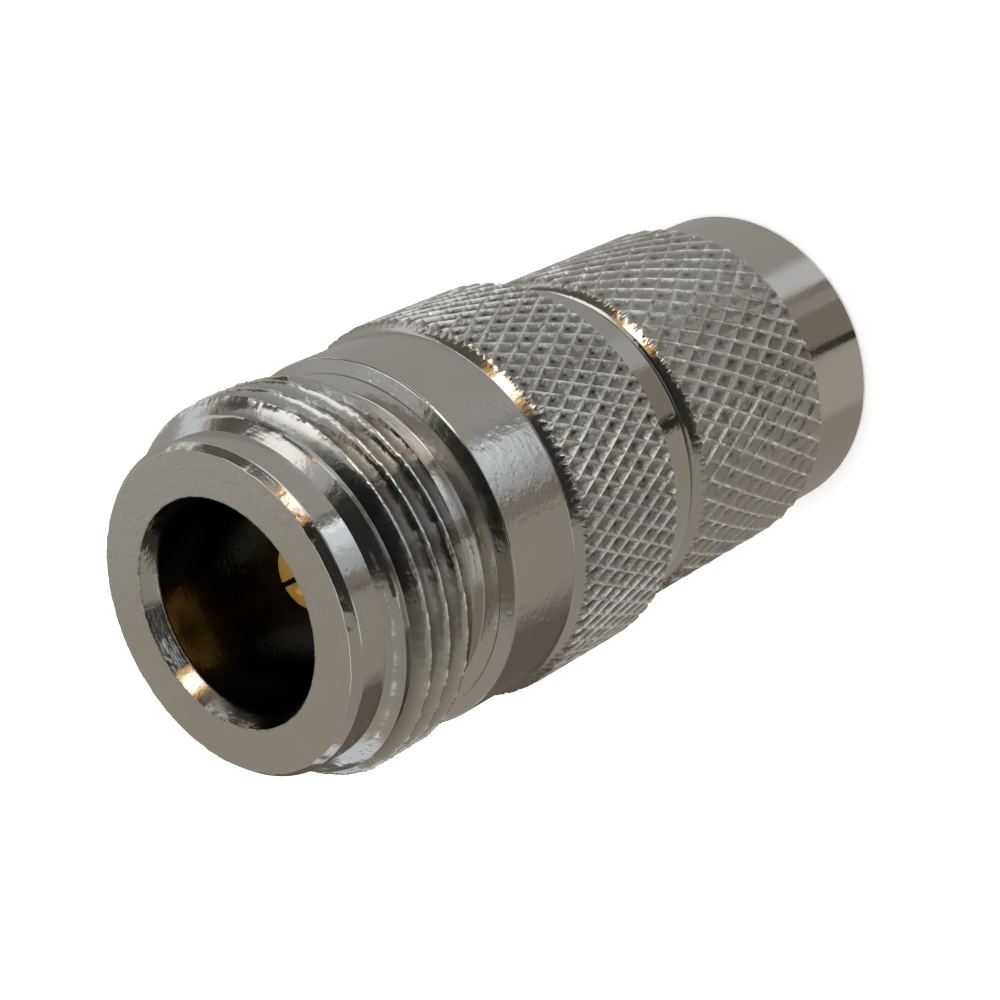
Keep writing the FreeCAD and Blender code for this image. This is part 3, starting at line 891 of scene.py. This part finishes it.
# a half sphere: x = R cos(level) cos(turn), y = R cos(level) sin(turn), z = R sin(level)
def makeDome(spec):
    turn, level = np.meshgrid(np.radians(np.arange(0, 360, 6)), np.radians(np.linspace(0, 90, 16)))
    radius = spec["radius"]
    across = radius * np.cos(level)
    points = np.stack([across * np.cos(turn), across * np.sin(turn), radius * np.sin(level)], -1)
    rows, columns = turn.shape
    index = np.arange(rows * columns).reshape(rows, columns)
    index = np.concatenate([index, index[:, :1]], axis=1)
    corners = [index[:-1, :-1], index[1:, :-1], index[1:, 1:], index[:-1, 1:]]
    quads = np.stack(corners, -1).reshape(-1, 4)
    mesh = bpy.data.meshes.new("tentDome")
    mesh.from_pydata(points.reshape(-1, 3).tolist(), [], quads.tolist())
    dome = bpy.data.objects.new("tentDome", mesh)
    bpy.context.scene.collection.objects.link(dome)
    return dome


# a flat disc: x = R cos(turn), y = R sin(turn), z = height
def makeDisc(name, radius, height):
    turn = np.radians(np.arange(0, 360, 3))
    points = np.stack([radius * np.cos(turn), radius * np.sin(turn), np.full(turn.shape, height)], -1)
    mesh = bpy.data.meshes.new(name)
    mesh.from_pydata(points.tolist(), [], [list(range(len(turn)))])
    disc = bpy.data.objects.new(name, mesh)
    bpy.context.scene.collection.objects.link(disc)
    return disc


def glossyOnly(piece):
    piece.visible_camera = False
    piece.visible_diffuse = False
    piece.visible_shadow = False
    piece.visible_transmission = False
    piece.visible_volume_scatter = False


tentDome = makeDome(tentSpec)
tentDome.data.materials.append(tentMaterial("tentDome", tentSpec["dome"], False))
tentSheet = makeDisc("tentSheet", tentSpec["radius"], tentSpec["sheetHeight"])
tentSheet.data.materials.append(tentMaterial("tentSheet", tentSpec["sheet"], True))
for piece in (tentDome, tentSheet):
    glossyOnly(piece)

floorSpec = {
    "radius": 3.0,
    "height": -0.00003,
    "colour": (0.96, 0.96, 0.96, 1),
}
floor = makeDisc("floor", floorSpec["radius"], floorSpec["height"])
material, nodes, links = newMaterial("paleFloor")
diffuse = addNode(nodes, "ShaderNodeBsdfDiffuse", {"Color": floorSpec["colour"]})
output = addNode(nodes, "ShaderNodeOutputMaterial")
links.new(diffuse.outputs[0], output.inputs["Surface"])
floor.data.materials.append(material)

# the world's light on the object, its brightness to the camera and to mirrors, and one lamp overhead
studioSpec = {
    "ambient": 1.5,
    "backdrop": 1.0,
    "lampPlace": (0.1, -0.25, 0.6),
    "lampAim": (0, 0, 0.015),
    "lampSize": 0.7,
    "lampPower": 0.9,
    "lampColour": (1.0, 0.99, 0.97),
}
world = bpy.data.worlds.new("studio")
bpy.context.scene.world = world
world.use_nodes = True
nodes, links = world.node_tree.nodes, world.node_tree.links
nodes.clear()
path = addNode(nodes, "ShaderNodeLightPath")
seen = addNode(nodes, "ShaderNodeMath", operation="MAXIMUM")
links.new(path.outputs["Is Camera Ray"], seen.inputs[0])
links.new(path.outputs["Is Glossy Ray"], seen.inputs[1])
seenAlso = addNode(nodes, "ShaderNodeMath", operation="MAXIMUM")
links.new(seen.outputs[0], seenAlso.inputs[0])
links.new(path.outputs["Is Transmission Ray"], seenAlso.inputs[1])
plainWhite = (1, 1, 1, 1)
ambientValues = {"Color": plainWhite, "Strength": studioSpec["ambient"]}
ambient = addNode(nodes, "ShaderNodeBackground", ambientValues)
white = addNode(nodes, "ShaderNodeBackground", {"Color": plainWhite, "Strength": studioSpec["backdrop"]})
either = addNode(nodes, "ShaderNodeMixShader")
links.new(seenAlso.outputs[0], either.inputs[0])
links.new(ambient.outputs[0], either.inputs[1])
links.new(white.outputs[0], either.inputs[2])
output = addNode(nodes, "ShaderNodeOutputWorld")
links.new(either.outputs[0], output.inputs["Surface"])


def addLamp(name, spec):
    lamp = bpy.data.lights.new(name, "AREA")
    lamp.shape = "DISK"
    lamp.size, lamp.energy, lamp.color = spec["lampSize"], spec["lampPower"], spec["lampColour"]
    holder = bpy.data.objects.new(name, lamp)
    holder.location = spec["lampPlace"]
    towards = Vector(spec["lampAim"]) - Vector(spec["lampPlace"])
    holder.rotation_euler = towards.to_track_quat("-Z", "Y").to_euler()
    holder.visible_glossy = False
    bpy.context.scene.collection.objects.link(holder)


addLamp("keyLamp", studioSpec)
print("tent, floor, world and lamp made")

# the photo's camera, turned to match: its place in metres, and its right and up directions
shotSpec = {
    "lens": 86.4,
    "sensor": 36.0,
    "nearest": 0.001,
    "place": (0.0, -0.0730746, 0.0910027),
    "right": (-0.44223903, -0.63374158, -0.63466231),
    "up": (0.89686136, -0.30614227, -0.31924381),
}
camera = bpy.data.cameras.new("photoCamera")
camera.lens = shotSpec["lens"]
camera.sensor_width = shotSpec["sensor"]
camera.clip_start = shotSpec["nearest"]
holder = bpy.data.objects.new("photoCamera", camera)
right, up = Vector(shotSpec["right"]), Vector(shotSpec["up"])
turn = Matrix((right, up, right.cross(up))).transposed()
holder.matrix_world = Matrix.Translation(shotSpec["place"]) @ turn.to_4x4()
bpy.context.scene.collection.objects.link(holder)
bpy.context.scene.camera = holder
bpy.context.scene.view_settings.view_transform = "Standard"
